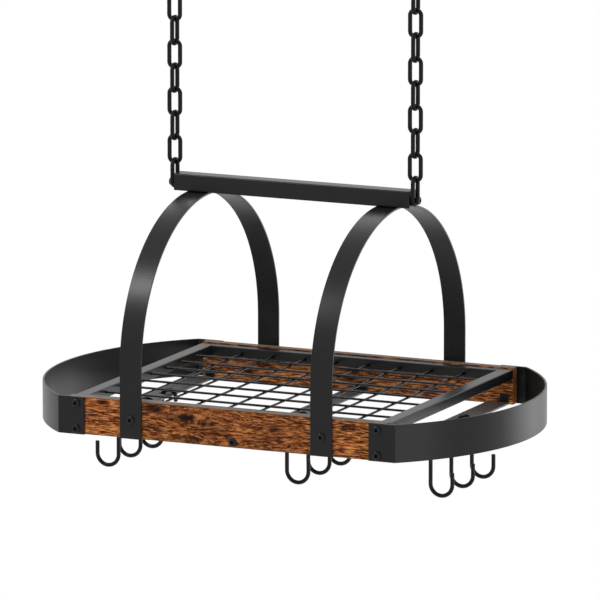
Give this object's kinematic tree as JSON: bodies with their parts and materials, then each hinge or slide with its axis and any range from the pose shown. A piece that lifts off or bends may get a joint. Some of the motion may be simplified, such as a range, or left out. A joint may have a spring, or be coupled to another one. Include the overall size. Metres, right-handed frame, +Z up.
{
  "type": "hanging pot rack",
  "caption": "Ceiling-hung pot rack: chains carry a square bar with arched straps to wooden side boards, bowed end bands, a wire-grid shelf and crossbars with S-hooks.",
  "frame": {"origin": "on the ceiling plane, midway between the two ceiling hooks", "axes": "+Z up, +X along the boards and the top bar, -Y towards the front board"},
  "size_m": [0.74, 0.482, 0.8026],
  "materials": {
    "black_steel": "satin black powder coat",
    "rustic_wood": "stained rustic board with dark knots"
  },
  "bodies": {
    "ceiling_hooks": {"ceiling_hook_left": "black_steel", "ceiling_hook_right": "black_steel"},
    "left_top_link": {"chain_left_link_1": "black_steel"},
    "left_chain": {"chain_left_link_2": "black_steel", "chain_left_link_3": "black_steel", "chain_left_link_4": "black_steel", "chain_left_link_5": "black_steel", "chain_left_link_6": "black_steel", "chain_left_link_7": "black_steel", "chain_left_link_8": "black_steel"},
    "left_last_link": {"chain_left_link_9": "black_steel"},
    "rack": {"top_bar": "black_steel", "link_bolt_left": "black_steel", "link_bolt_right": "black_steel", "arch_left": "black_steel", "arch_right": "black_steel", "arch_crown_screw_left": "black_steel", "arch_crown_screw_right": "black_steel", "side_board_front": "rustic_wood", "side_board_back": "rustic_wood", "end_band_left": "black_steel", "end_band_right": "black_steel", "shelf_frame": "black_steel", "shelf_grid": "black_steel", "crossbar_left": "black_steel", "crossbar_middle": "black_steel", "crossbar_right": "black_steel", "crossbar_screw_front": "black_steel", "crossbar_screw_back": "black_steel", "band_screw_left_front_upper": "black_steel", "band_screw_left_front_lower": "black_steel", "arch_foot_screw_left_front": "black_steel", "band_screw_left_back_upper": "black_steel", "band_screw_left_back_lower": "black_steel", "arch_foot_screw_left_back": "black_steel", "band_screw_right_front_upper": "black_steel", "band_screw_right_front_lower": "black_steel", "arch_foot_screw_right_front": "black_steel", "band_screw_right_back_upper": "black_steel", "band_screw_right_back_lower": "black_steel", "arch_foot_screw_right_back": "black_steel"},
    "right_last_link": {"chain_right_link_9": "black_steel"},
    "right_chain": {"chain_right_link_2": "black_steel", "chain_right_link_3": "black_steel", "chain_right_link_4": "black_steel", "chain_right_link_5": "black_steel", "chain_right_link_6": "black_steel", "chain_right_link_7": "black_steel", "chain_right_link_8": "black_steel"},
    "right_top_link": {"chain_right_link_1": "black_steel"},
    "pot_hook_left_1": {"pot_hook_left_1": "black_steel"},
    "pot_hook_left_2": {"pot_hook_left_2": "black_steel"},
    "pot_hook_left_3": {"pot_hook_left_3": "black_steel"},
    "pot_hook_middle_1": {"pot_hook_middle_1": "black_steel"},
    "pot_hook_middle_2": {"pot_hook_middle_2": "black_steel"},
    "pot_hook_middle_3": {"pot_hook_middle_3": "black_steel"},
    "pot_hook_right_1": {"pot_hook_right_1": "black_steel"},
    "pot_hook_right_2": {"pot_hook_right_2": "black_steel"},
    "pot_hook_right_3": {"pot_hook_right_3": "black_steel"}
  },
  "joints": [
    {"name": "front_back_swing", "type": "hinge", "parent": "ceiling_hooks", "child": "left_top_link", "pos_m": [-0.19068, 0, -0.036], "axis": [1, 0, 0], "range_deg": [-20, 20]},
    {"name": "sideways_swing", "type": "hinge", "parent": "left_top_link", "child": "left_chain", "pos_m": [-0.19068, 0, -0.07035], "axis": [0, 1, 0], "range_deg": [-15, 15]},
    {"name": "left_last_link_turn", "type": "hinge", "parent": "left_chain", "child": "left_last_link", "pos_m": [-0.19068, 0, -0.30865], "axis": [0, 1, 0], "range_deg": [-15, 15]},
    {"name": "rack_tilt", "type": "hinge", "parent": "left_last_link", "child": "rack", "pos_m": [-0.19068, 0, -0.342], "axis": [1, 0, 0], "range_deg": [-15, 15]},
    {"name": "right_last_link_tilt", "type": "hinge", "parent": "rack", "child": "right_last_link", "pos_m": [0.19068, 0, -0.342], "axis": [1, 0, 0], "range_deg": [-15, 15]},
    {"name": "right_chain_sideways", "type": "hinge", "parent": "right_last_link", "child": "right_chain", "pos_m": [0.19068, 0, -0.30865], "axis": [0, 1, 0], "range_deg": [-15, 15]},
    {"name": "right_top_link_swing", "type": "hinge", "parent": "ceiling_hooks", "child": "right_top_link", "pos_m": [0.19068, 0, -0.036], "axis": [1, 0, 0], "range_deg": [-20, 20]},
    {"name": "pot_hook_left_1_swing", "type": "hinge", "parent": "rack", "child": "pot_hook_left_1", "pos_m": [-0.2365, -0.074, -0.67859], "axis": [0, 1, 0], "range_deg": [-20, 20]},
    {"name": "pot_hook_left_2_swing", "type": "hinge", "parent": "rack", "child": "pot_hook_left_2", "pos_m": [-0.2365, 0, -0.67859], "axis": [0, 1, 0], "range_deg": [-20, 20]},
    {"name": "pot_hook_left_3_swing", "type": "hinge", "parent": "rack", "child": "pot_hook_left_3", "pos_m": [-0.2365, 0.074, -0.67859], "axis": [0, 1, 0], "range_deg": [-20, 20]},
    {"name": "pot_hook_middle_1_swing", "type": "hinge", "parent": "rack", "child": "pot_hook_middle_1", "pos_m": [0.011, -0.074, -0.67859], "axis": [0, 1, 0], "range_deg": [-20, 20]},
    {"name": "pot_hook_middle_2_swing", "type": "hinge", "parent": "rack", "child": "pot_hook_middle_2", "pos_m": [0.011, 0, -0.67859], "axis": [0, 1, 0], "range_deg": [-20, 20]},
    {"name": "pot_hook_middle_3_swing", "type": "hinge", "parent": "rack", "child": "pot_hook_middle_3", "pos_m": [0.011, 0.074, -0.67859], "axis": [0, 1, 0], "range_deg": [-20, 20]},
    {"name": "pot_hook_right_1_swing", "type": "hinge", "parent": "rack", "child": "pot_hook_right_1", "pos_m": [0.2375, -0.074, -0.67859], "axis": [0, 1, 0], "range_deg": [-20, 20]},
    {"name": "pot_hook_right_2_swing", "type": "hinge", "parent": "rack", "child": "pot_hook_right_2", "pos_m": [0.2375, 0, -0.67859], "axis": [0, 1, 0], "range_deg": [-20, 20]},
    {"name": "pot_hook_right_3_swing", "type": "hinge", "parent": "rack", "child": "pot_hook_right_3", "pos_m": [0.2375, 0.074, -0.67859], "axis": [0, 1, 0], "range_deg": [-20, 20]}
  ],
  "couplings": [
    {"joint": "left_last_link_turn", "follows": "sideways_swing", "ratio": -1},
    {"joint": "right_chain_sideways", "follows": "sideways_swing", "ratio": 1},
    {"joint": "right_last_link_tilt", "follows": "rack_tilt", "ratio": -1},
    {"joint": "right_top_link_swing", "follows": "front_back_swing", "ratio": 1}
  ]
}
